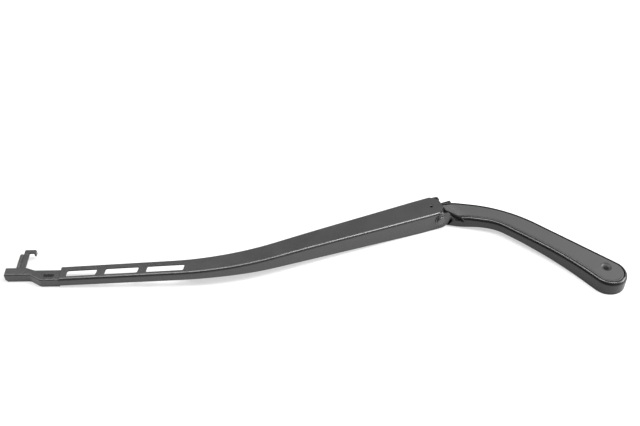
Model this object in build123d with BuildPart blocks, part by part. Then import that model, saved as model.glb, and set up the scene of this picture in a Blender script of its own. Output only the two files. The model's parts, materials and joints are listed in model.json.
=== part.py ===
"""Windscreen wiper arm: a hinged pressed channel, its mounting head and its blade bracket.

The origin is on the spindle axis, level with the underside of the head. +Z is up along the spindle,
the blade end points to -X, and the side the arm shows to its front is -Y. All sizes are millimetres.
"""

import os
from math import atan2, cos, degrees, hypot, radians, sin, sqrt, tan

from build123d import *

# Arm in plan: the hinge axis, the two straight runs and the bend between them
hinge_x = -162.6
hinge_y = 88.6
hinge_z = 12.3
arm_angle = 21.6
tip_angle = 1.2
bend_run = 228.0
tip_run = 165.0
bend_radius = 285.0

# Channel section
sheet = 1.6
hinge_width = 28.0
bend_width = 19.8
tip_width = 18.6
crease_radius = 2.5
ear_run = 18.0
ear_reach = 11.6
ear_rise = 6.4
ear_top_corner = 5.0
ear_low_corner = 10.5
top_overhang = 6.6
tongue_half = 6.0
tongue_back = 2.5

# Channel heights along its length
top_hinge = 21.8
top_tip = 10.5
top_slope = 3.3
top_radius = 2500.0
front_base_tip = 1.9
front_base_crest = 9.6
front_crest_back = 14.0
rear_flange = 4.2
rear_crest_back = 35.0
base_run_out = 12.0
base_radius = 650.0

# Windows in the channel's blade end
slot_first = 6.2
slot_lengths = (30.0, 33.0, 37.0)
slot_bar = 8.2
slot_width = 8.0
slot_shift = -1.0
slot_lean = 10.0
slot_corner = 1.6

# Service hole in the channel's top, before the hinge
lock_hole_radius = 1.5
lock_hole_back = 5.1
lock_hole_across = -1.1

# Mounting head in plan
head_angle = -38.9
end_radius = 17.4
end_run = 1.0
front_half = 9.2
flare_radius = 340.0
rear_corner_run = 127.2
rear_lead_angle = -8.5
rear_lead = 77.5
rear_bend_radius = 138.0
front_corner_run = 120.7
front_lead_angle = -11.5
front_lead = 56.2
front_bend_radius = 45.0

# Mounting head heights: its top falls to the hinge along a ramp, its lower edge is arched along X
head_top = 15.0
ramp_angle = 35.0
ramp_foot_at = -72.2
ramp_head_at = -62.2
ramp_radius = 22.0
head_base = 4.8
base_low_x = -16.0
base_high_x = -76.0
base_dip = 1.6
base_dip_x = -136.0
base_flat_x = -118.0
head_base_radius = 60.0

# Mounting head casting
head_crease = 3.8
head_wall = 3.0
head_roof = 2.6
rib = 2.2
rib_places = (-40.0, -62.0, -84.0)
pocket_near_x = -18.0
pocket_far_x = -115.0
boss_radius = 11.0
spindle_radius = 6.0
spindle_length = 8.0
nut_recess_radius = 11.2

# Snap-on cover of the head
cover = 2.6
cover_inset = 3.6
cover_gap = 0.7
cover_edge = 1.2
dimple_radius = 5.2
dimple_depth = 2.0
dimple_back = 4.2
dimple_across = 3.0

# Hinge
pin_radius = 3.0
pin_head_radius = 4.6
pin_head = 1.9
pin_head_edge = 1.4
washer_radius = 6.2
washer = 0.8
washer_edge = 0.2
bush_radius = 3.9
bush_flange_radius = 7.2
bush_flange = 1.0
hinge_play = 0.1
bush_play = 0.05
lug_radius = 7.4
neck_top = -2.2
neck_bottom = -10.3
neck_reach = 24.0
ear_gap = 0.9
ledge_height = 8.8
ledge_near = (9.5, -0.1)
ledge_turn = (11.0, -0.1)
ledge_far = (24.2, -25.3)

# Spring, its hook and its anchor, in the hinge's side view: forward of the axis, above the axis
hook_pin_at = (3.5, -5.1)
hook_pin_radius = 1.8
hook_play = 0.05
hook_strip = 3.0
hook_thickness = 4.0
hook_slot = 5.0
hook_slot_end = 10.6
hook_slot_roof = -4.3
hook_slot_neck = 4.4
hook_turn = -70.0
hook_low = -10.3
hook_low_to = -4.6
hook_rise_to = -12.5
hook_bend = 4.0
eye_at = -41.0
eye_radius = 4.5
eye_hole_radius = 2.2
anchor_at = (-135.0, -2.0)
spring_radius = 5.2
spring_wire = 2.0
coil_groove = 0.7
loop_radius = 3.4
loop_slack = 2.8
anchor_tab = 3.0
anchor_tab_back = 7.0
anchor_corner = 2.2
anchor_foot_length = 20.0
anchor_foot_width = 14.0
anchor_foot = 1.6
anchor_seat_gap = 0.25

# Blade bracket, measured from the channel's end: along the arm, then towards the rear
bracket_top = 9.5
bracket_length = 55.2
block_front = -1.0
block_rear = 9.1
waist_front = -8.4
waist_rear = 5.5
front_jog = (-19.0, -30.0)
rear_jog = (-26.0, -35.0)
jog_radius = 7.0
bracket_edge = 1.1
block_nose = 2.6
web = 1.8
waist_pocket = (-22.0, -3.0)
waist_wall = 1.8
pocket_corner = 1.5
eyelet_length = 9.8
eyelet_width = 3.7
eyelet_corner = 0.9
eyelet_at = (-11.0, -2.4)
shank_gap = 0.3
shank_top_gap = 0.3
tongue_length = 5.2
tongue = 2.4
rail_length = 34.0
rail = 2.6
rail_base = 4.2
shank_root = 1.0
end_gap = 0.3

# Flag that keeps the blade's adaptor on its pin
flag = 1.8
flag_width = 5.3
flag_left = -41.4
flag_reach = 33.5
flag_hook = 4.1
hook_reach = 6.0
flag_lip = 5.0
flag_corner = 1.2

# Blade pin
blade_pin_radius = 2.75
blade_pin_at = -44.4
blade_pin_height = 4.2
blade_pin_end = 30.8
blade_pin_seat = 8.0
blade_pin_shank_radius = 2.0
blade_pin_tip = 0.6

# Room past the ends and sides of a solid that a cutting block needs to pass right through it
beyond = 5.0
tall = 60.0
wide = 300.0

# Shares of a unit direction that sort faces and edges: looks up, stands upright, runs along the arm
looks_up = 0.9
stands_upright = 0.1
runs_along = 0.5


def ahead(point, angle, along, across=0.0):
    """The plan point that lies along a direction from another, and to its left by across."""
    turn = radians(angle)
    x = point[0] + along * cos(turn) - across * sin(turn)
    y = point[1] + along * sin(turn) + across * cos(turn)
    return (x, y)


# Plan points that several pieces share
hinge = (hinge_x, hinge_y)
bend = ahead(hinge, arm_angle, -bend_run)
tip = ahead(bend, tip_angle, -tip_run)
ear_inner = hinge_width / 2 - sheet
neck_half = ear_inner - bush_flange - hinge_play
ramp_foot = hinge_z + neck_top
top_rise = tan(radians(top_slope))

# Working planes: side view at the hinge with its normal to the front, its plan,
# side view along the head's ramp, and the blade end's plan and side view
arm_way = (cos(radians(arm_angle)), sin(radians(arm_angle)), 0)
front_way = (sin(radians(arm_angle)), -cos(radians(arm_angle)), 0)
hinge_side = Plane(origin=(hinge_x, hinge_y, hinge_z), x_dir=arm_way, z_dir=front_way)
hinge_plan = Plane(origin=hinge_side.origin, x_dir=arm_way)
ramp_way = (cos(radians(ramp_angle)), sin(radians(ramp_angle)), 0)
ramp_side = Plane(origin=(0, 0, 0), x_dir=ramp_way, z_dir=(ramp_way[1], -ramp_way[0], 0))
tip_plan = Plane(origin=(tip[0], tip[1], 0), x_dir=(cos(radians(tip_angle)), sin(radians(tip_angle)), 0))
tip_side = Plane(origin=tip_plan.origin, x_dir=tip_plan.x_dir, z_dir=-tip_plan.y_dir)


def upward_edges(part):
    """Edges along both sides of the faces that look up."""
    tops = part.faces().filter_by(lambda face: face.normal_at().Z > looks_up)
    return tops.edges().filter_by(lambda edge: abs((edge % 0.5).X) > runs_along)


# Channel
def channel_side(sign, inset, extra):
    """Plan points of one side of the channel, from the blade end to the hinge."""
    corner = bend_width / 2 - inset
    half_turn = radians((arm_angle - tip_angle) / 2)
    return (
        ahead(tip, tip_angle, -extra, sign * (tip_width / 2 - inset)),
        ahead(bend, (arm_angle + tip_angle) / 2, 0, sign * corner / cos(half_turn)),
        ahead(hinge, arm_angle, -ear_run, sign * (hinge_width / 2 - inset)),
        ahead(hinge, arm_angle, top_overhang + extra, sign * (hinge_width / 2 - inset)),
    )


def channel_top(inset, extra):
    """Side view of the channel's top, from the blade end to past the hinge."""
    corner_x = tip[0] + (top_hinge - top_tip) / top_rise
    return (
        (tip[0] - extra, top_tip - extra * top_rise - inset),
        (corner_x, top_hinge - inset),
        (hinge_x + tall, top_hinge - inset),
    )


def channel_base(tip_height, crest_height, crest_back):
    """Side view of a wall's lower edge, from the blade end to past the hinge."""
    run_out = hinge_x - base_run_out
    return (
        (tip[0] - beyond, tip_height),
        (bend[0] - crest_back, crest_height),
        (run_out, 0),
        (hinge_x + tall, 0),
    )


def channel_prism(inset, extra):
    """The channel's plan outline as a tall block under its top."""
    with BuildPart() as prism:
        with BuildSketch(Plane.XY.offset(-beyond)):
            with BuildLine():
                front = FilletPolyline(*channel_side(-1, inset, extra), radius=bend_radius)
                rear = FilletPolyline(*channel_side(1, inset, extra), radius=bend_radius)
                Line(front @ 0, rear @ 0)
                Line(front @ 1, rear @ 1)
            make_face()
        extrude(amount=tall)
        with BuildSketch(Plane.XZ):
            with BuildLine():
                top = FilletPolyline(*channel_top(inset, extra), radius=top_radius)
                low = -2 * beyond
                Polyline(top @ 1, ((top @ 1).X, low), ((top @ 0).X, low), top @ 0)
            make_face()
        extrude(amount=wide, both=True, mode=Mode.INTERSECT)
        fillet(upward_edges(prism), crease_radius - inset)
    return prism.part


channel_block = channel_prism(0, 0)
channel_cavity = channel_prism(sheet, beyond)
rear_base_crest = top_tip + (tip_run - rear_crest_back) * top_rise - rear_flange

with BuildPart() as under_front:
    with BuildSketch(Plane.XZ):
        with BuildLine():
            edge = FilletPolyline(
                *channel_base(front_base_tip, front_base_crest, front_crest_back), radius=base_radius
            )
            Polyline(edge @ 1, ((edge @ 1).X, -tall), ((edge @ 0).X, -tall), edge @ 0)
        make_face()
    extrude(amount=wide, both=True)

with BuildPart() as under_rear:
    with BuildSketch(Plane.XZ):
        with BuildLine():
            edge = FilletPolyline(
                *channel_base(top_tip - rear_flange, rear_base_crest, rear_crest_back), radius=base_radius
            )
            Polyline(edge @ 1, ((edge @ 1).X, -tall), ((edge @ 0).X, -tall), edge @ 0)
        make_face()
    extrude(amount=wide, both=True)
    with BuildSketch(Plane.XY.offset(-tall)):
        with BuildLine():
            middle = FilletPolyline(
                ahead(tip, tip_angle, -beyond),
                bend,
                ahead(hinge, arm_angle, top_overhang + beyond),
                radius=bend_radius,
            )
            Polyline(middle @ 1, ((middle @ 1).X, wide), ((middle @ 0).X, wide), middle @ 0)
        make_face()
    extrude(amount=2 * tall, mode=Mode.INTERSECT)

with BuildPart() as arm_channel:
    add(channel_block)
    add(channel_cavity, mode=Mode.SUBTRACT)
    add(under_front.part, mode=Mode.SUBTRACT)
    add(under_rear.part, mode=Mode.SUBTRACT)
    # Past the axis the walls go on as flat ears, lower than the top, and the top as a tapered tongue
    with BuildSketch(hinge_side):
        with Locations((tall / 2, ear_rise - tall / 2)):
            Rectangle(tall, tall)
    extrude(amount=hinge_width, both=True, mode=Mode.SUBTRACT)
    with BuildSketch(hinge_plan.offset(ear_rise)):
        for side in (-1, 1):
            with BuildLine():
                Polyline(
                    (-tongue_back, side * hinge_width / 2),
                    (top_overhang, side * tongue_half),
                    (tall, side * tongue_half),
                    (tall, side * tall),
                    (-tongue_back, side * tall),
                    close=True,
                )
            make_face()
    extrude(amount=tall, mode=Mode.SUBTRACT)
    for ear_plane in (hinge_side.offset(ear_inner), hinge_side.offset(-hinge_width / 2)):
        with BuildSketch(ear_plane):
            with BuildLine():
                Polyline(
                    (-ear_low_corner, -hinge_z),
                    (ear_reach, -hinge_z),
                    (ear_reach, ear_rise),
                    (-ear_low_corner, ear_rise),
                    close=True,
                )
            make_face()
            fillet(vertices().group_by(Axis.Y)[0].sort_by(Axis.X)[-1], ear_low_corner)
            fillet(vertices().group_by(Axis.Y)[-1].sort_by(Axis.X)[-1], ear_top_corner)
        extrude(amount=sheet)
    with BuildSketch(hinge_side):
        Circle(pin_radius)
    extrude(amount=hinge_width, both=True, mode=Mode.SUBTRACT)
    with BuildSketch(hinge_plan):
        with Locations((-lock_hole_back, lock_hole_across)):
            Circle(lock_hole_radius)
    extrude(amount=tall, mode=Mode.SUBTRACT)
    # Three leaning windows in the blade end
    with BuildSketch(tip_plan):
        window_start = slot_first
        window_lean = slot_width / 2 * tan(radians(slot_lean))
        for window_length in slot_lengths:
            window_end = window_start + window_length
            with BuildLine():
                Polyline(
                    (window_start - window_lean, slot_shift - slot_width / 2),
                    (window_end - window_lean, slot_shift - slot_width / 2),
                    (window_end + window_lean, slot_shift + slot_width / 2),
                    (window_start + window_lean, slot_shift + slot_width / 2),
                    close=True,
                )
            make_face()
            window_start = window_end + slot_bar
        fillet(vertices(), slot_corner)
    extrude(amount=tall, mode=Mode.SUBTRACT)
arm_channel.part.label = "arm_channel"


# Mounting head
def head_plan():
    """Outline of the head in plan: two bent sides and a round end about the spindle."""
    spindle = (0.0, 0.0)
    end_centre = ahead(spindle, head_angle, end_run)
    rear_corner = ahead(spindle, head_angle, -rear_corner_run, end_radius)
    front_corner = ahead(spindle, head_angle, -front_corner_run, -front_half)
    flare_across = front_half + flare_radius
    flare_along = -sqrt((end_radius + flare_radius) ** 2 - flare_across**2)
    flare_turn = degrees(atan2(-flare_across, flare_along))
    flare_end = ahead(end_centre, head_angle + flare_turn, end_radius)
    flare_middle_turn = (flare_turn + 180 + 90) / 2
    flare_centre = ahead(end_centre, head_angle, flare_along, -flare_across)
    rear = FilletPolyline(
        ahead(rear_corner, rear_lead_angle, -rear_lead),
        rear_corner,
        ahead(end_centre, head_angle, 0, end_radius),
        radius=rear_bend_radius,
    )
    ThreePointArc(rear @ 1, ahead(end_centre, head_angle, end_radius), flare_end)
    front = FilletPolyline(
        ahead(front_corner, front_lead_angle, -front_lead),
        front_corner,
        ahead(end_centre, head_angle, flare_along, -front_half),
        radius=front_bend_radius,
    )
    ThreePointArc(flare_end, ahead(flare_centre, head_angle + flare_middle_turn, flare_radius), front @ 1)
    Line(front @ 0, rear @ 0)


def head_ceiling(drop):
    """Side view of the head's top along its ramp, lowered by drop, from before the hinge to past the end."""
    return (
        (-wide, ramp_foot - drop),
        (ramp_foot_at, ramp_foot - drop),
        (ramp_head_at, head_top - drop),
        (wide, head_top - drop),
    )


def head_floor():
    """Side view of the head's lower edge, from before the hinge to past the spindle."""
    return (
        (hinge_x - tall, base_dip),
        (base_dip_x, base_dip),
        (base_flat_x, head_base),
        (base_high_x, head_base),
        (base_low_x, 0),
        (tall, 0),
    )


def under_ceiling(drop):
    """Block under the head's top lowered by drop."""
    with BuildPart() as block:
        with BuildSketch(ramp_side):
            with BuildLine():
                top = FilletPolyline(*head_ceiling(drop), radius=ramp_radius)
                Polyline(top @ 1, ((top @ 1).X, -tall), ((top @ 0).X, -tall), top @ 0)
            make_face()
        extrude(amount=wide, both=True)
    return block.part


def head_layer(inset, top_drop):
    """The head's outline drawn in by inset, as a block under its lowered top."""
    with BuildPart() as layer:
        with BuildSketch(Plane.XY.offset(-beyond)):
            with BuildLine():
                head_plan()
            make_face()
            if inset > 0:
                offset(amount=-inset, kind=Kind.INTERSECTION, mode=Mode.REPLACE)
        extrude(amount=tall)
        add(under_ceiling(top_drop), mode=Mode.INTERSECT)
    return layer.part


def top_rim(part):
    """Edges between a head layer's top and its side walls, leaving out its hinge end."""
    tops = part.faces().filter_by(lambda face: face.normal_at().Z > looks_up)
    walls = part.faces().filter_by(lambda face: abs(face.normal_at().Z) < stands_upright)
    side_edges = [edge for wall in walls.sort_by(Axis.X)[1:] for edge in wall.edges()]
    return [edge for edge in tops.edges() if edge in side_edges]


ear_sweep = hypot(ear_reach - ear_low_corner, hinge_z - ear_low_corner) + ear_low_corner
head_clear_radius = ear_sweep + ear_gap
tongue_sweep = hypot(top_overhang, top_hinge - hinge_z)
cover_clear_radius = tongue_sweep + ear_gap
casting_layer = head_layer(0, 0)
recess_layer = head_layer(cover_inset - cover_gap, -beyond)
pocket_layer = head_layer(head_wall, cover + head_roof)
cover_layer = head_layer(cover_inset, 0)
cover_seat = under_ceiling(cover)

with BuildPart() as under_head:
    with BuildSketch(Plane.XZ):
        with BuildLine():
            edge = FilletPolyline(*head_floor(), radius=head_base_radius)
            Polyline(edge @ 1, ((edge @ 1).X, -tall), ((edge @ 0).X, -tall), edge @ 0)
        make_face()
    extrude(amount=wide, both=True)

with BuildPart() as cover_recess:
    add(recess_layer)
    add(cover_seat, mode=Mode.SUBTRACT)
    with BuildSketch(hinge_side):
        Circle(cover_clear_radius - cover_gap)
    extrude(amount=wide, both=True, mode=Mode.SUBTRACT)

with BuildPart() as head_pocket:
    add(pocket_layer)
    with BuildSketch(Plane.XY.offset(-beyond)):
        with Locations(((pocket_near_x + pocket_far_x) / 2, 0)):
            Rectangle(pocket_near_x - pocket_far_x, wide)
        Circle(boss_radius, mode=Mode.SUBTRACT)
        with Locations(*[(place, 0) for place in rib_places]):
            Rectangle(rib, wide, mode=Mode.SUBTRACT)
    extrude(amount=tall, mode=Mode.INTERSECT)

# Room over a low ledge at the front, between the hinge and the head's top
with BuildPart() as ledge_room:
    with BuildSketch(hinge_plan.offset(ledge_height - hinge_z)):
        with BuildLine():
            Polyline(ledge_near, ledge_turn, ledge_far, (ledge_near[0], ledge_far[1]), close=True)
        make_face()
    extrude(amount=tall)

with BuildPart() as mounting_head:
    add(casting_layer)
    add(under_head.part, mode=Mode.SUBTRACT)
    fillet(top_rim(mounting_head), head_crease)
    with BuildSketch(hinge_side):
        Circle(head_clear_radius)
    extrude(amount=wide, both=True, mode=Mode.SUBTRACT)
    add(head_pocket.part, mode=Mode.SUBTRACT)
    # Neck and lug between the channel's ears
    with BuildSketch(hinge_side):
        with BuildLine():
            Polyline(
                (-pin_radius, neck_bottom),
                (neck_reach, neck_bottom),
                (neck_reach, neck_top),
                (-pin_radius, neck_top),
                close=True,
            )
        make_face()
        Circle(lug_radius)
    extrude(amount=neck_half, both=True)
    with BuildSketch(hinge_side):
        Circle(bush_radius)
        with Locations(hook_pin_at):
            Circle(hook_pin_radius)
    extrude(amount=neck_half, both=True, mode=Mode.SUBTRACT)
    # Slot for the spring's hook, open below and towards the arm
    with BuildSketch(hinge_side):
        with BuildLine():
            Polyline(
                (-tall, -tall),
                (hook_slot_end, -tall),
                (hook_slot_end, hook_slot_roof),
                (hook_slot_neck, hook_slot_roof),
                (hook_slot_neck, tall),
                (-tall, tall),
                close=True,
            )
        make_face()
    extrude(amount=hook_slot / 2, both=True, mode=Mode.SUBTRACT)
    add(cover_recess.part, mode=Mode.SUBTRACT)
    add(ledge_room.part, mode=Mode.SUBTRACT)
    with BuildSketch(Plane.XY.offset(-beyond)):
        Circle(spindle_radius)
    extrude(amount=tall, mode=Mode.SUBTRACT)
    with BuildSketch(Plane.XY.offset(spindle_length)):
        Circle(nut_recess_radius)
    extrude(amount=tall, mode=Mode.SUBTRACT)
mounting_head.part.label = "mounting_head"

dimple_at = ahead((0.0, 0.0), head_angle, -dimple_back, dimple_across)
dimple_sphere = (dimple_radius**2 + dimple_depth**2) / (2 * dimple_depth)

with BuildPart() as head_cover:
    add(cover_layer)
    add(cover_seat, mode=Mode.SUBTRACT)
    fillet(top_rim(head_cover), cover_edge)
    # Room for the arm's tongue, and more at the sides for its ears
    with BuildSketch(hinge_side):
        Circle(cover_clear_radius)
    extrude(amount=wide, both=True, mode=Mode.SUBTRACT)
    for ear_plane in (hinge_side.offset(neck_half), hinge_side.offset(-neck_half - wide)):
        with BuildSketch(ear_plane):
            Circle(head_clear_radius + cover_gap)
        extrude(amount=wide, mode=Mode.SUBTRACT)
    add(ledge_room.part, mode=Mode.SUBTRACT)
    with Locations((dimple_at[0], dimple_at[1], head_top - dimple_depth + dimple_sphere)):
        Sphere(dimple_sphere, mode=Mode.SUBTRACT)
head_cover.part.label = "head_cover"

# Hinge pin, its washers and its bushes
with BuildPart() as hinge_pin:
    with BuildSketch(hinge_side):
        Circle(pin_radius)
    extrude(amount=hinge_width / 2 + washer, both=True)
    for head_plane in (
        hinge_side.offset(hinge_width / 2 + washer),
        hinge_side.offset(-hinge_width / 2 - washer - pin_head),
    ):
        with BuildSketch(head_plane):
            Circle(pin_head_radius)
        extrude(amount=pin_head)
    outer_rims = hinge_pin.edges().filter_by(GeomType.CIRCLE).group_by(Axis(hinge_side.origin, front_way))
    fillet(outer_rims[0] + outer_rims[-1], pin_head_edge)
hinge_pin.part.label = "hinge_pin"


def rivet_washer(plane):
    """Plain washer under one head of the hinge pin."""
    with BuildPart() as ring:
        with BuildSketch(plane):
            Circle(washer_radius)
            Circle(pin_radius, mode=Mode.SUBTRACT)
        extrude(amount=washer)
        fillet(ring.edges().filter_by(GeomType.CIRCLE), washer_edge)
    return ring.part


rivet_washer_front = rivet_washer(hinge_side.offset(hinge_width / 2))
rivet_washer_front.label = "rivet_washer_front"
rivet_washer_rear = rivet_washer(hinge_side.offset(-hinge_width / 2 - washer))
rivet_washer_rear.label = "rivet_washer_rear"


def hinge_bush(start, flange_start):
    """Flanged plain bearing pressed into one cheek of the lug."""
    with BuildPart() as bush:
        with BuildSketch(hinge_side.offset(start)):
            Circle(bush_radius)
        extrude(amount=neck_half - hook_slot / 2)
        with BuildSketch(hinge_side.offset(flange_start)):
            Circle(bush_flange_radius)
        extrude(amount=bush_flange)
        with BuildSketch(hinge_side):
            Circle(pin_radius + bush_play)
        extrude(amount=hinge_width, both=True, mode=Mode.SUBTRACT)
    return bush.part


hinge_bush_front = hinge_bush(hook_slot / 2, neck_half)
hinge_bush_front.label = "hinge_bush_front"
hinge_bush_rear = hinge_bush(-neck_half, -neck_half - bush_flange)
hinge_bush_rear.label = "hinge_bush_rear"

with BuildPart() as spring_hook_pin:
    with BuildSketch(hinge_side):
        with Locations(hook_pin_at):
            Circle(hook_pin_radius)
    extrude(amount=neck_half, both=True)
spring_hook_pin.part.label = "spring_hook_pin"


# Spring, hook and anchor
def pull_height(forward):
    """Height of the spring's line of pull, from the hook pin to the anchor, in the hinge's side view."""
    share = (forward - hook_pin_at[0]) / (anchor_at[0] - hook_pin_at[0])
    return hook_pin_at[1] + share * (anchor_at[1] - hook_pin_at[1])


eye_place = (eye_at, pull_height(eye_at))
hook_middle = hook_pin_radius + hook_play + hook_strip / 2

with BuildPart() as spring_hook_link:
    with BuildSketch(hinge_side):
        with BuildLine():
            turn_end = ahead(hook_pin_at, hook_turn, hook_middle)
            ThreePointArc(
                ahead(hook_pin_at, 0, hook_middle), ahead(hook_pin_at, hook_turn / 2, hook_middle), turn_end
            )
            fall = tan(radians(-90 - hook_turn))
            FilletPolyline(
                turn_end,
                (turn_end[0] + (hook_low - turn_end[1]) / -fall, hook_low),
                (hook_low_to, hook_low),
                (hook_rise_to, pull_height(hook_rise_to)),
                eye_place,
                radius=hook_bend,
            )
        trace(line_width=hook_strip)
        with Locations(eye_place):
            Circle(eye_radius)
            Circle(eye_hole_radius, mode=Mode.SUBTRACT)
    extrude(amount=hook_thickness / 2, both=True)
spring_hook_link.part.label = "spring_hook_link"

# The spring's own plane runs from the eye along the line of pull
pull_length = hypot(anchor_at[0] - eye_place[0], anchor_at[1] - eye_place[1])
eye_point = hinge_side.from_local_coords(Vector(*eye_place))
anchor_point = hinge_side.from_local_coords(Vector(*anchor_at))
pull_way = (anchor_point - eye_point).normalized()
spring_plane = Plane(origin=eye_point, x_dir=pull_way, z_dir=front_way)
loop_plane = Plane(origin=eye_point, x_dir=pull_way, z_dir=spring_plane.y_dir)
loop_length = 2 * loop_radius + loop_slack
coil_start = loop_length + spring_wire / 2
coil_end = pull_length - coil_start
coil_turns = round((coil_end - coil_start) / spring_wire)
coil_pitch = (coil_end - coil_start) / coil_turns
coil_bore = spring_radius - spring_wire

with BuildPart() as tension_spring:
    with BuildSketch(spring_plane):
        with BuildLine():
            ridge = [(coil_start, coil_bore)]
            for turn in range(coil_turns):
                ridge.append((coil_start + turn * coil_pitch, spring_radius - coil_groove))
                ridge.append((coil_start + (turn + 0.5) * coil_pitch, spring_radius))
            ridge.append((coil_end, spring_radius - coil_groove))
            ridge.append((coil_end, coil_bore))
            Polyline(*ridge, close=True)
        make_face()
    revolve(axis=Axis(eye_point, pull_way))
    # Long end loops, and the end turns that cross to the middle and run out into them
    for loop_centre, run_out_centre, crossing in (
        (loop_length / 2, coil_start, coil_start + spring_wire / 2),
        (pull_length - loop_length / 2, coil_end, coil_end - spring_wire / 2),
    ):
        with BuildSketch(loop_plane):
            with Locations((loop_centre, 0)):
                SlotCenterToCenter(loop_slack, 2 * loop_radius + spring_wire)
                SlotCenterToCenter(loop_slack, 2 * loop_radius - spring_wire, mode=Mode.SUBTRACT)
        extrude(amount=spring_wire / 2, both=True)
        with BuildSketch(spring_plane):
            with Locations((run_out_centre, 0)):
                Rectangle(2 * spring_wire, spring_wire)
            with Locations((crossing, 0)):
                Rectangle(spring_wire, 2 * coil_bore + spring_wire)
        extrude(amount=spring_wire / 2, both=True)
tension_spring.part.label = "tension_spring"

anchor_seat = top_hinge - sheet - hinge_z - anchor_seat_gap
with BuildPart() as spring_anchor:
    with BuildSketch(hinge_side):
        with BuildLine():
            tab_front = anchor_at[0] + eye_radius + loop_slack
            tab_rear = anchor_at[0] - anchor_tab_back
            Polyline(
                (tab_front, anchor_at[1] - eye_radius),
                (tab_front, anchor_seat),
                (tab_rear, anchor_seat),
                (tab_rear, anchor_at[1] - eye_radius),
                close=True,
            )
        make_face()
        fillet(vertices().group_by(Axis.Y)[0], anchor_corner)
        with Locations((anchor_at[0] + loop_slack / 2, anchor_at[1])):
            SlotCenterToCenter(loop_slack, 2 * eye_hole_radius, mode=Mode.SUBTRACT)
    extrude(amount=anchor_tab / 2, both=True)
    with BuildSketch(hinge_side):
        with Locations(((tab_front + tab_rear) / 2, anchor_seat - anchor_foot / 2)):
            Rectangle(anchor_foot_length, anchor_foot)
    extrude(amount=anchor_foot_width / 2, both=True)
spring_anchor.part.label = "spring_anchor"

# Blade bracket
shank_side = tip_width / 2 - sheet - shank_gap
shank_top = top_tip - sheet - shank_top_gap
root_depth = end_gap + shank_root
block_middle = (block_front + block_rear) / 2

with BuildPart() as blade_bracket:
    with BuildSketch(tip_plan):
        with BuildLine():
            front = FilletPolyline(
                (-end_gap, waist_front),
                (front_jog[0], waist_front),
                (front_jog[1], block_front),
                (-bracket_length, block_front),
                radius=jog_radius,
            )
            rear = FilletPolyline(
                (-end_gap, waist_rear),
                (rear_jog[0], waist_rear),
                (rear_jog[1], block_rear),
                (-bracket_length, block_rear),
                radius=jog_radius,
            )
            Line(front @ 0, rear @ 0)
            Line(front @ 1, rear @ 1)
        make_face()
    extrude(amount=bracket_top)
    fillet(upward_edges(blade_bracket), bracket_edge)
    nose = blade_bracket.faces().sort_by(Axis.X)[0]
    chamfer(nose.edges().sort_by(Axis.Z)[0], block_nose)
    with BuildSketch(tip_plan.offset(-beyond)):
        with Locations(((waist_pocket[0] + waist_pocket[1]) / 2, (waist_front + waist_rear) / 2)):
            RectangleRounded(
                waist_pocket[1] - waist_pocket[0], waist_rear - waist_front - 2 * waist_wall, pocket_corner
            )
    extrude(amount=beyond + bracket_top - web, mode=Mode.SUBTRACT)
    with BuildSketch(tip_plan):
        with Locations(eyelet_at):
            RectangleRounded(eyelet_length, eyelet_width, eyelet_corner)
    extrude(amount=tall, mode=Mode.SUBTRACT)
    # Shank inside the channel: a short tongue under its top and a rail along its front wall
    with BuildSketch(tip_plan.offset(shank_top - tongue)):
        with Locations(((tongue_length - root_depth) / 2, (waist_rear - shank_side) / 2)):
            Rectangle(tongue_length + root_depth, waist_rear + shank_side)
    extrude(amount=tongue)
    with BuildSketch(tip_plan.offset(rail_base)):
        with Locations(((rail_length - root_depth) / 2, rail / 2 - shank_side)):
            Rectangle(rail_length + root_depth, rail)
    extrude(amount=shank_top - rail_base)
    # Flag over the blade pin, with its hooked and folded end
    with BuildSketch(tip_plan.offset(bracket_top - flag)):
        with BuildLine():
            flag_right = flag_left + flag_width
            hook_right = flag_right + hook_reach
            Polyline(
                (flag_left, block_middle),
                (flag_left, flag_reach),
                (hook_right, flag_reach),
                (hook_right, flag_reach - flag_hook),
                (flag_right, flag_reach - flag_hook),
                (flag_right, block_middle),
                close=True,
            )
        make_face()
        fillet(vertices().sort_by(Axis.Y)[-2:], flag_corner)
    extrude(amount=flag)
    with BuildSketch(tip_plan.offset(bracket_top - flag_lip)):
        with Locations((hook_right - flag / 2, flag_reach - flag_hook / 2)):
            Rectangle(flag, flag_hook)
    extrude(amount=flag_lip - flag / 2)
    with BuildSketch(tip_side.offset(-block_rear)):
        with Locations((blade_pin_at, blade_pin_height)):
            Circle(blade_pin_shank_radius)
    extrude(amount=blade_pin_seat, mode=Mode.SUBTRACT)
blade_bracket.part.label = "blade_bracket"

with BuildPart() as blade_pin:
    with BuildSketch(tip_side.offset(-blade_pin_end)):
        with Locations((blade_pin_at, blade_pin_height)):
            Circle(blade_pin_radius)
    extrude(amount=blade_pin_end - block_rear)
    pin_rims = blade_pin.edges().filter_by(GeomType.CIRCLE).sort_by(Axis.Y)
    chamfer(pin_rims[-1], blade_pin_tip)
    # Shank in the block, behind the pin's shoulder
    with BuildSketch(tip_side.offset(-block_rear)):
        with Locations((blade_pin_at, blade_pin_height)):
            Circle(blade_pin_shank_radius)
    extrude(amount=blade_pin_seat)
blade_pin.part.label = "blade_pin"

os.makedirs("parts", exist_ok=True)
for piece in (
    arm_channel.part,
    mounting_head.part,
    head_cover.part,
    hinge_pin.part,
    rivet_washer_front,
    rivet_washer_rear,
    hinge_bush_front,
    hinge_bush_rear,
    spring_hook_pin.part,
    spring_hook_link.part,
    tension_spring.part,
    spring_anchor.part,
    blade_bracket.part,
    blade_pin.part,
):
    export_step(piece, f"parts/{piece.label}.step")
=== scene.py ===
"""Looks of a windscreen wiper arm: its finishes, the studio and the camera.

Everything is in metres, in the part's own frame: the spindle axis is Z and the blade end points to -X.
"""

import json
import math

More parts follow.
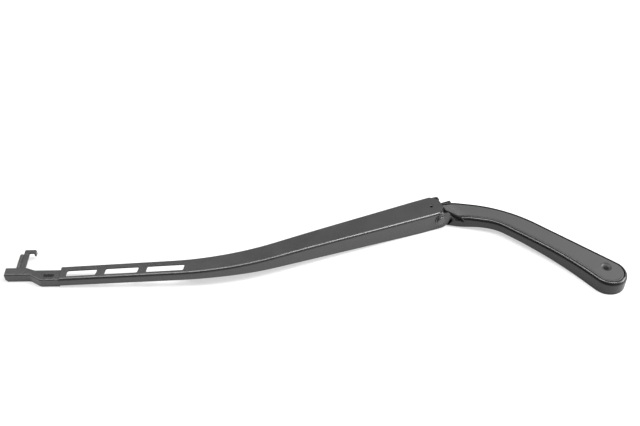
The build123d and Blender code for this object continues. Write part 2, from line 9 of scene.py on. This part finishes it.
import bpy
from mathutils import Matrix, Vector

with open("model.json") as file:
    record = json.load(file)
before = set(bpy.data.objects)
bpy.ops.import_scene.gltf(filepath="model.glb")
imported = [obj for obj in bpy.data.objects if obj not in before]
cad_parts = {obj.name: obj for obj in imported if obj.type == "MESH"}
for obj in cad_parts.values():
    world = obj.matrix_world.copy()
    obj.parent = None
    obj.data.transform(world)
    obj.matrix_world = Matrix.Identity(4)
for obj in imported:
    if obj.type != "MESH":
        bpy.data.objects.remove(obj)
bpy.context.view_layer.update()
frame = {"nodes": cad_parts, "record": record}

MM = 0.001

# Camera, from the photograph: level, looking down at the part's middle
PHOTO_WIDTH = 640
FOCAL_PIXELS = 900.0
SENSOR_WIDTH_MM = 36.0
CAMERA_AT = Vector((-0.283416, -0.606927, 0.658350))
CAMERA_AIM = Vector((-0.283416, 0.077621, 0.020))

# The room as a light. Its level follows the direction that is looked in: a span gives two values of one
# of that direction's coordinates, and then the levels at them.
# Level at the foot of the walls, from front to back
SKIRTING = (-0.3, 0.3, 0.05, 0.60)
# Heights at which the walls start to brighten from that level, and are at full level
RISE = (0.12, 0.50)
# Share of the walls' level that is kept, from front to back and from left to right
DEPTH = (-0.5, 0.3, 0.22, 0.55)
SIDE = (-0.7, 0.7, 0.45, 1.5)

# A bright panel high at the back left: where it starts and is full in X, Y and Z, and its strength
PANEL_X = (-0.20, -0.30)
PANEL_Y = (0.20, 0.28)
PANEL_Z = (0.74, 0.80)
PANEL = 7.0

# Softboxes: name, place, the point that each one faces, width, height and power in watts
SOFTBOXES = (
    ("over_head", (0.25, 0.20, 1.20), (0.25, 0.20, 0.0), 0.70, 0.40, 12.5),
    ("over_arm", (-0.50, 0.04, 1.20), (-0.50, 0.04, 0.0), 0.80, 0.20, 7.0),
    ("over_end", (0.44, -0.13, 1.20), (0.44, -0.13, 0.0), 0.32, 0.25, 3.5),
    ("right", (1.00, 0.05, 0.60), (-0.20, 0.06, 0.0), 0.70, 0.50, 14.0),
)

# Table: half its width, its own tone, and the glow that lifts it to white, seen directly and mirrored
FLOOR_HALF = 3.0
FLOOR_WHITE = 0.38
FLOOR_GLOW = 0.58
FLOOR_MIRROR_GLOW = 0.46

# Edges flatter than this shade smooth, and painted edges look rounded by this much
SMOOTH_ANGLE = math.radians(32)
EDGE_ROUND = 0.5 * MM

# Painted shade in seams and inner corners: its reach, and its tone as a share of the finish's own
CREVICE_SHADE_REACH = 2.0 * MM
PAINTED_SHADE_TONE = 0.1
# Openness at which a face has full painted shade and none, and how much of its own colour it keeps there
SHADE_BY_OPENNESS = (0.25, 0.80, 0.30, 1.0)

# Painted shade on the cover: its reach along the front edge, and the lean of that edge where it is full and
# gone
COVER_EDGE_SHADE_REACH = 3.0 * MM
COVER_EDGE_LEAN = (-0.28, -0.02)
# The dimple, the distances from it at which its painted shade is full and gone, and how much colour the
# darkest spot keeps
DIMPLE_AT = (-1.4 * MM, 5.0 * MM, 14.0 * MM)
DIMPLE_SHADE_SPAN = (2.0 * MM, 4.6 * MM)
COVER_DARKEST_SHARE = 0.12

# Range that most of a noise's values lie in
NOISE_RANGE = (0.3, 0.7)

# In the three lists below, TONES are the clouds' darkest and palest tone against the finish's own,
# and ROUGH_SWINGS say how far its roughness swings with the clouds and with the grain or marks

# Paint: texture scales of its clouds, worn patches, orange peel and grain, and the depths of the last two
PAINT_CLOUDS = 38.0
PAINT_PATCHES = 210.0
PAINT_PEEL = 420.0
PAINT_GRAIN = 2600.0
PEEL_DEPTH = 0.10 * MM
PAINT_GRAIN_DEPTH = 0.02 * MM
PAINT_TONES = (0.86, 1.14)
PAINT_ROUGH_SWINGS = (0.04, 0.03)
# Cosines of an edge's turn where wear starts and is full, and the noise levels of worn patches and speckles
WORN_TURN = (0.995, 0.80)
WORN_PATCHES = (0.42, 0.62)
SPECKLES = (0.55, 0.75)
# Shares of paler paint on a worn edge and in a speckle, and their tones against the paint's own
WORN_SHARE = 0.5
WORN_TONE = 2.2
SPECKLE_SHARE = 0.35
SPECKLE_TONE = 1.7

# Plastic: texture scale of its clouds, how much its grain shows, its gloss, and a second grain in the first
PLASTIC_CLOUDS = 30.0
PLASTIC_GRAIN_STRENGTH = 0.5
PLASTIC_SPECULAR = 0.5
SECOND_GRAIN_STRENGTH = 0.4
SECOND_GRAIN_FINER = 2.5
SECOND_GRAIN_SHALLOWER = 3
PLASTIC_TONES = (0.9, 1.1)
PLASTIC_ROUGH_SWINGS = (0.03, 0.04)

# Metal: texture scales of its clouds and tool marks, how much the marks show, and their depth
METAL_CLOUDS = 160.0
TOOL_MARKS = 1900.0
TOOL_MARK_STRENGTH = 0.35
TOOL_MARK_DEPTH = 0.02 * MM
METAL_TONES = (0.82, 1.12)
METAL_ROUGH_SWINGS = (0.08, 0.06)


class Nodes:
    """A short way to write a node tree: each call makes nodes and links or sets their inputs."""

    def __init__(self, tree):
        self.tree = tree
        tree.nodes.clear()

    def feed(self, socket, value):
        """Links an input to another node's output, or sets it to a plain value."""
        if isinstance(value, bpy.types.NodeSocket):
            self.tree.links.new(value, socket)
        else:
            socket.default_value = value

    def add(self, kind, inputs=None, **settings):
        node = self.tree.nodes.new(kind)
        for key, value in settings.items():
            setattr(node, key, value)
        for key, value in (inputs or {}).items():
            self.feed(node.inputs[key], value)
        return node

    def place(self):
        """The point on the piece, which the textures are laid by."""
        return self.add("ShaderNodeTexCoord").outputs["Object"]

    def maths(self, operation, first, second):
        return self.add("ShaderNodeMath", {0: first, 1: second}, operation=operation).outputs[0]

    def vectors(self, operation, first, second, result):
        node = self.add("ShaderNodeVectorMath", {0: first, 1: second}, operation=operation)
        return node.outputs[result]

    def noise(self, place, scale, detail=4.0, roughness=0.55):
        inputs = {"Vector": place, "Scale": scale, "Detail": detail, "Roughness": roughness}
        return self.add("ShaderNodeTexNoise", inputs).outputs["Fac"]

    def span(self, value, low, high, to_low=0.0, to_high=1.0):
        inputs = {"Value": value, "From Min": low, "From Max": high, "To Min": to_low, "To Max": to_high}
        return self.add("ShaderNodeMapRange", inputs).outputs["Result"]

    def swing(self, noise, middle, reach):
        """A noise turned into a value that swings about a middle one."""
        return self.span(noise, *NOISE_RANGE, middle - reach, middle + reach)

    def uneven(self, roughness, swings, cloud, grain):
        """A roughness that swings with two noises."""
        by_cloud, by_grain = swings
        return self.maths("ADD", self.swing(cloud, roughness, by_cloud), self.swing(grain, 0.0, by_grain))

    def rounded(self, radius, samples):
        """The surface's normal, turned beside edges as if they were rounded."""
        return self.add("ShaderNodeBevel", {"Radius": radius}, samples=samples).outputs["Normal"]

    def unrounded(self):
        """The surface's normal as it is."""
        return self.add("ShaderNodeNewGeometry").outputs["Normal"]

    def crevice_shade(self):
        """One on open faces, less in seams and inner corners, where shade is painted in."""
        shade = self.add("ShaderNodeAmbientOcclusion", {"Distance": CREVICE_SHADE_REACH}, samples=8).outputs["AO"]
        return self.span(shade, *SHADE_BY_OPENNESS)

    def bump(self, height, strength, depth, normal=None):
        inputs = {"Height": height, "Strength": strength, "Distance": depth}
        if normal is not None:
            inputs["Normal"] = normal
        return self.add("ShaderNodeBump", inputs).outputs[0]

    def mix(self, share, first, second):
        node = self.add("ShaderNodeMix", data_type="RGBA")
        for key, value in (("Factor_Float", share), ("A_Color", first), ("B_Color", second)):
            self.feed(next(socket for socket in node.inputs if socket.identifier == key), value)
        return next(socket for socket in node.outputs if socket.identifier == "Result_Color")

    def clouded(self, cloud, level, tones, warmth=0.0):
        """A grey that drifts between a darker and a paler tone."""
        darkest, palest = tones
        return self.mix(cloud, grey(level * darkest, warmth), grey(level * palest, warmth))

    def surface(self, inputs):
        """The material's shader and its output."""
        shader = self.add("ShaderNodeBsdfPrincipled", inputs)
        self.add("ShaderNodeOutputMaterial", {"Surface": shader.outputs[0]})

    def shaded_surface(self, level, unshaded, colour, roughness, specular, normal):
        """A paint or plastic darkened and dulled by painted shade where its unshaded share is below one."""
        self.surface(
            {
                "Base Color": self.mix(unshaded, grey(level * PAINTED_SHADE_TONE), colour),
                "Roughness": roughness,
                "Specular IOR Level": self.maths("MULTIPLY", unshaded, specular),
                "Normal": normal,
            }
        )


def grey(level, warmth=0.0):
    return (level * (1 + warmth), level, level * (1 - warmth), 1.0)


def new_material(name):
    """An empty material and its nodes."""
    material = bpy.data.materials.new(name)
    material.use_nodes = True
    return material, Nodes(material.node_tree)


def painted(name, level, roughness, peel, specular):
    """Black paint: slight clouding, orange peel, fine grain and a paler line along worn edges."""
    material, nodes = new_material(name)
    place = nodes.place()
    cloud = nodes.noise(place, PAINT_CLOUDS)
    grain = nodes.noise(place, PAINT_GRAIN, detail=2.0)
    coat = nodes.noise(place, PAINT_PEEL, detail=2.0, roughness=0.4)
    patches = nodes.span(nodes.noise(place, PAINT_PATCHES), *WORN_PATCHES)
    rounded = nodes.rounded(EDGE_ROUND, samples=6)
    turn = nodes.vectors("DOT_PRODUCT", rounded, nodes.unrounded(), "Value")
    worn = nodes.maths("MULTIPLY", nodes.span(turn, *WORN_TURN), patches)
    clouded = nodes.clouded(cloud, level, PAINT_TONES)
    speckles = nodes.span(grain, *SPECKLES, 0.0, SPECKLE_SHARE)
    speckled = nodes.mix(speckles, clouded, grey(level * SPECKLE_TONE))
    colour = nodes.mix(nodes.maths("MULTIPLY", worn, WORN_SHARE), speckled, grey(level * WORN_TONE))
    rough = nodes.uneven(roughness, PAINT_ROUGH_SWINGS, cloud, grain)
    peeled = nodes.bump(coat, peel, PEEL_DEPTH, rounded)
    normal = nodes.bump(grain, peel, PAINT_GRAIN_DEPTH, peeled)
    # Seams and inner corners of the paint are darkened and dulled with painted shade.
    nodes.shaded_surface(level, nodes.crevice_shade(), colour, rough, specular, normal)
    return material


def cover_painted_shade(nodes, place):
    """Painted shade on the cover: one on its open face, less along its front edge and in its dimple."""
    rounded = nodes.rounded(COVER_EDGE_SHADE_REACH, samples=8)
    turn = nodes.vectors("SUBTRACT", rounded, nodes.unrounded(), "Vector")
    lean = nodes.add("ShaderNodeSeparateXYZ", {0: turn}).outputs["Y"]
    edge = nodes.span(lean, *COVER_EDGE_LEAN)
    dimple = nodes.span(nodes.vectors("DISTANCE", place, DIMPLE_AT, "Value"), *DIMPLE_SHADE_SPAN)
    return nodes.span(nodes.maths("MULTIPLY", edge, dimple), 0.0, 1.0, COVER_DARKEST_SHARE, 1.0)


def moulded(name, level, roughness, grain_scale, grain_depth, warmth=0.0, extra_shade=None):
    """Moulded plastic with a fine leathery grain."""
    material, nodes = new_material(name)
    place = nodes.place()
    cloud = nodes.noise(place, PLASTIC_CLOUDS)
    cells = {"Vector": place, "Scale": grain_scale}
    grain = nodes.add("ShaderNodeTexVoronoi", cells, feature="SMOOTH_F1").outputs["Distance"]
    fine = nodes.noise(place, grain_scale * SECOND_GRAIN_FINER, detail=2.0)
    # Seams and inner corners are darkened and dulled with painted shade, and a piece may add its own.
    unshaded = nodes.crevice_shade()
    if extra_shade:
        unshaded = nodes.maths("MULTIPLY", unshaded, extra_shade(nodes, place))
    colour = nodes.clouded(cloud, level, PLASTIC_TONES, warmth)
    rough = nodes.uneven(roughness, PLASTIC_ROUGH_SWINGS, cloud, fine)
    grained = nodes.bump(grain, PLASTIC_GRAIN_STRENGTH, grain_depth)
    normal = nodes.bump(fine, SECOND_GRAIN_STRENGTH, grain_depth / SECOND_GRAIN_SHALLOWER, grained)
    nodes.shaded_surface(level, unshaded, colour, rough, PLASTIC_SPECULAR, normal)
    return material


def bare_metal(name, level, roughness, warmth=0.0):
    """Metal with clouded plating and fine tool marks."""
    material, nodes = new_material(name)
    place = nodes.place()
    cloud = nodes.noise(place, METAL_CLOUDS)
    marks = nodes.noise(place, TOOL_MARKS, detail=3.0)
    colour = nodes.clouded(cloud, level, METAL_TONES, warmth)
    rough = nodes.uneven(roughness, METAL_ROUGH_SWINGS, cloud, marks)
    normal = nodes.bump(marks, TOOL_MARK_STRENGTH, TOOL_MARK_DEPTH)
    nodes.surface({"Base Color": colour, "Roughness": rough, "Metallic": 1.0, "Normal": normal})
    return material


def smoothing_group():
    """Modifier tree that shades smooth across gentle edges and sharp across steep ones."""
    group = bpy.data.node_groups.new("smooth_gentle_edges", "GeometryNodeTree")
    group.interface.new_socket("Geometry", in_out="INPUT", socket_type="NodeSocketGeometry")
    group.interface.new_socket("Geometry", in_out="OUTPUT", socket_type="NodeSocketGeometry")
    start = group.nodes.new("NodeGroupInput")
    end = group.nodes.new("NodeGroupOutput")
    angle = group.nodes.new("GeometryNodeInputMeshEdgeAngle")
    gentle = group.nodes.new("FunctionNodeCompare")
    gentle.data_type = "FLOAT"
    gentle.operation = "LESS_THAN"
    gentle.inputs["B"].default_value = SMOOTH_ANGLE
    faces = group.nodes.new("GeometryNodeSetShadeSmooth")
    faces.domain = "FACE"
    edges = group.nodes.new("GeometryNodeSetShadeSmooth")
    edges.domain = "EDGE"
    group.links.new(angle.outputs["Unsigned Angle"], gentle.inputs["A"])
    group.links.new(start.outputs[0], faces.inputs["Geometry"])
    group.links.new(faces.outputs[0], edges.inputs["Geometry"])
    group.links.new(gentle.outputs[0], edges.inputs["Shade Smooth"])
    group.links.new(edges.outputs[0], end.inputs[0])
    return group


def finish_node(node, material, smoothing):
    """Gives a solid its finish and smooth shading."""
    piece = frame["nodes"][node]
    piece.data.materials.clear()
    piece.data.materials.append(material)
    modifier = piece.modifiers.new("smooth", "NODES")
    modifier.node_group = smoothing


def face(thing, at, aim):
    """Puts a camera or lamp in its place, facing a point."""
    thing.location = at
    thing.rotation_mode = "QUATERNION"
    thing.rotation_quaternion = (Vector(aim) - Vector(at)).to_track_quat("-Z", "Y")


def make_camera():
    data = bpy.data.cameras.new("camera")
    data.sensor_width = SENSOR_WIDTH_MM
    data.lens = FOCAL_PIXELS / PHOTO_WIDTH * SENSOR_WIDTH_MM
    camera = bpy.data.objects.new("camera", data)
    face(camera, CAMERA_AT, CAMERA_AIM)
    bpy.context.scene.collection.objects.link(camera)
    bpy.context.scene.camera = camera


def seen_directly(nodes, rays):
    """One for what the camera sees, also through something clear, and zero for light and mirror images."""
    return nodes.maths("MAXIMUM", rays["Is Camera Ray"], rays["Is Transmission Ray"])


def make_floor():
    """White table: it takes the shadow, and a glow for camera and mirror rays lifts it to white."""
    mesh = bpy.data.meshes.new("floor")
    corners = [(x * FLOOR_HALF, y * FLOOR_HALF, 0) for x, y in ((-1, -1), (1, -1), (1, 1), (-1, 1))]
    mesh.from_pydata(corners, [], [(0, 1, 2, 3)])
    floor = bpy.data.objects.new("floor", mesh)
    bpy.context.scene.collection.objects.link(floor)
    material, nodes = new_material("floor_white")
    rays = nodes.add("ShaderNodeLightPath").outputs
    direct = nodes.maths("MULTIPLY", seen_directly(nodes, rays), FLOOR_GLOW)
    mirrored = nodes.maths("MULTIPLY", rays["Is Glossy Ray"], FLOOR_MIRROR_GLOW)
    strength = nodes.maths("MAXIMUM", direct, mirrored)
    glow = nodes.add("ShaderNodeEmission", {"Color": grey(1.0), "Strength": strength})
    matt = nodes.add("ShaderNodeBsdfDiffuse", {"Color": grey(FLOOR_WHITE)})
    both = nodes.add("ShaderNodeAddShader", {0: matt.outputs[0], 1: glow.outputs[0]})
    nodes.add("ShaderNodeOutputMaterial", {"Surface": both.outputs[0]})
    floor.data.materials.append(material)


def make_world():
    """White to the camera. As light, a pale room, dim at its foot, at the left and in front, and a panel."""
    world = bpy.data.worlds.new("studio")
    bpy.context.scene.world = world
    world.use_nodes = True
    nodes = Nodes(world.node_tree)
    direction = nodes.add("ShaderNodeTexCoord").outputs["Generated"]
    way = nodes.add("ShaderNodeSeparateXYZ", {0: direction}).outputs
    wall = nodes.span(way["Z"], *RISE, nodes.span(way["Y"], *SKIRTING), 1.0)
    depth = nodes.span(way["Y"], *DEPTH)
    side = nodes.span(way["X"], *SIDE)
    room = nodes.maths("MULTIPLY", nodes.maths("MULTIPLY", wall, depth), side)
    panel = PANEL
    for axis, reach in (("X", PANEL_X), ("Y", PANEL_Y), ("Z", PANEL_Z)):
        panel = nodes.maths("MULTIPLY", nodes.span(way[axis], *reach), panel)
    light = nodes.maths("ADD", room, panel)
    seen = seen_directly(nodes, nodes.add("ShaderNodeLightPath").outputs)
    unseen = nodes.maths("SUBTRACT", 1.0, seen)
    strength = nodes.maths("ADD", seen, nodes.maths("MULTIPLY", unseen, light))
    sky = nodes.add("ShaderNodeBackground", {"Color": grey(1.0), "Strength": strength})
    nodes.add("ShaderNodeOutputWorld", {"Surface": sky.outputs[0]})


def make_softbox(name, at, aim, width, height, power):
    data = bpy.data.lights.new(name, "AREA")
    data.shape = "RECTANGLE"
    data.size = width
    data.size_y = height
    data.energy = power
    lamp = bpy.data.objects.new(name, data)
    face(lamp, at, aim)
    bpy.context.scene.collection.objects.link(lamp)


# Finishes by slot: each is given its name, then its tone and its roughness
finishes = {
    "arm_paint": painted("arm_paint", 0.016, 0.30, peel=0.10, specular=0.95),
    "head_paint": painted("head_paint", 0.006, 0.28, peel=0.12, specular=0.56),
    # The cover gets painted shade along its front edge and in its dimple.
    "cover_plastic": moulded("cover_plastic", 0.044, 0.44, 1500.0, 0.03 * MM, extra_shade=cover_painted_shade),
    "rivet_paint": painted("rivet_paint", 0.040, 0.22, peel=0.10, specular=1.0),
    "bush_plastic": moulded("bush_plastic", 0.22, 0.45, 900.0, 0.01 * MM, warmth=0.04),
    "plated_steel": bare_metal("plated_steel", 0.55, 0.38, warmth=0.03),
    "spring_steel": bare_metal("spring_steel", 0.24, 0.36),
    "bracket_paint": painted("bracket_paint", 0.018, 0.26, peel=0.10, specular=1.0),
    "pin_steel": bare_metal("pin_steel", 0.16, 0.42, warmth=0.02),
}
smoothing = smoothing_group()
for subpart in frame["record"]["subparts"]:
    finish_node(subpart["node"], finishes[subpart["material_slot"]], smoothing)

bpy.context.scene.view_settings.view_transform = "Standard"
make_camera()
make_floor()
make_world()
for softbox in SOFTBOXES:
    make_softbox(*softbox)
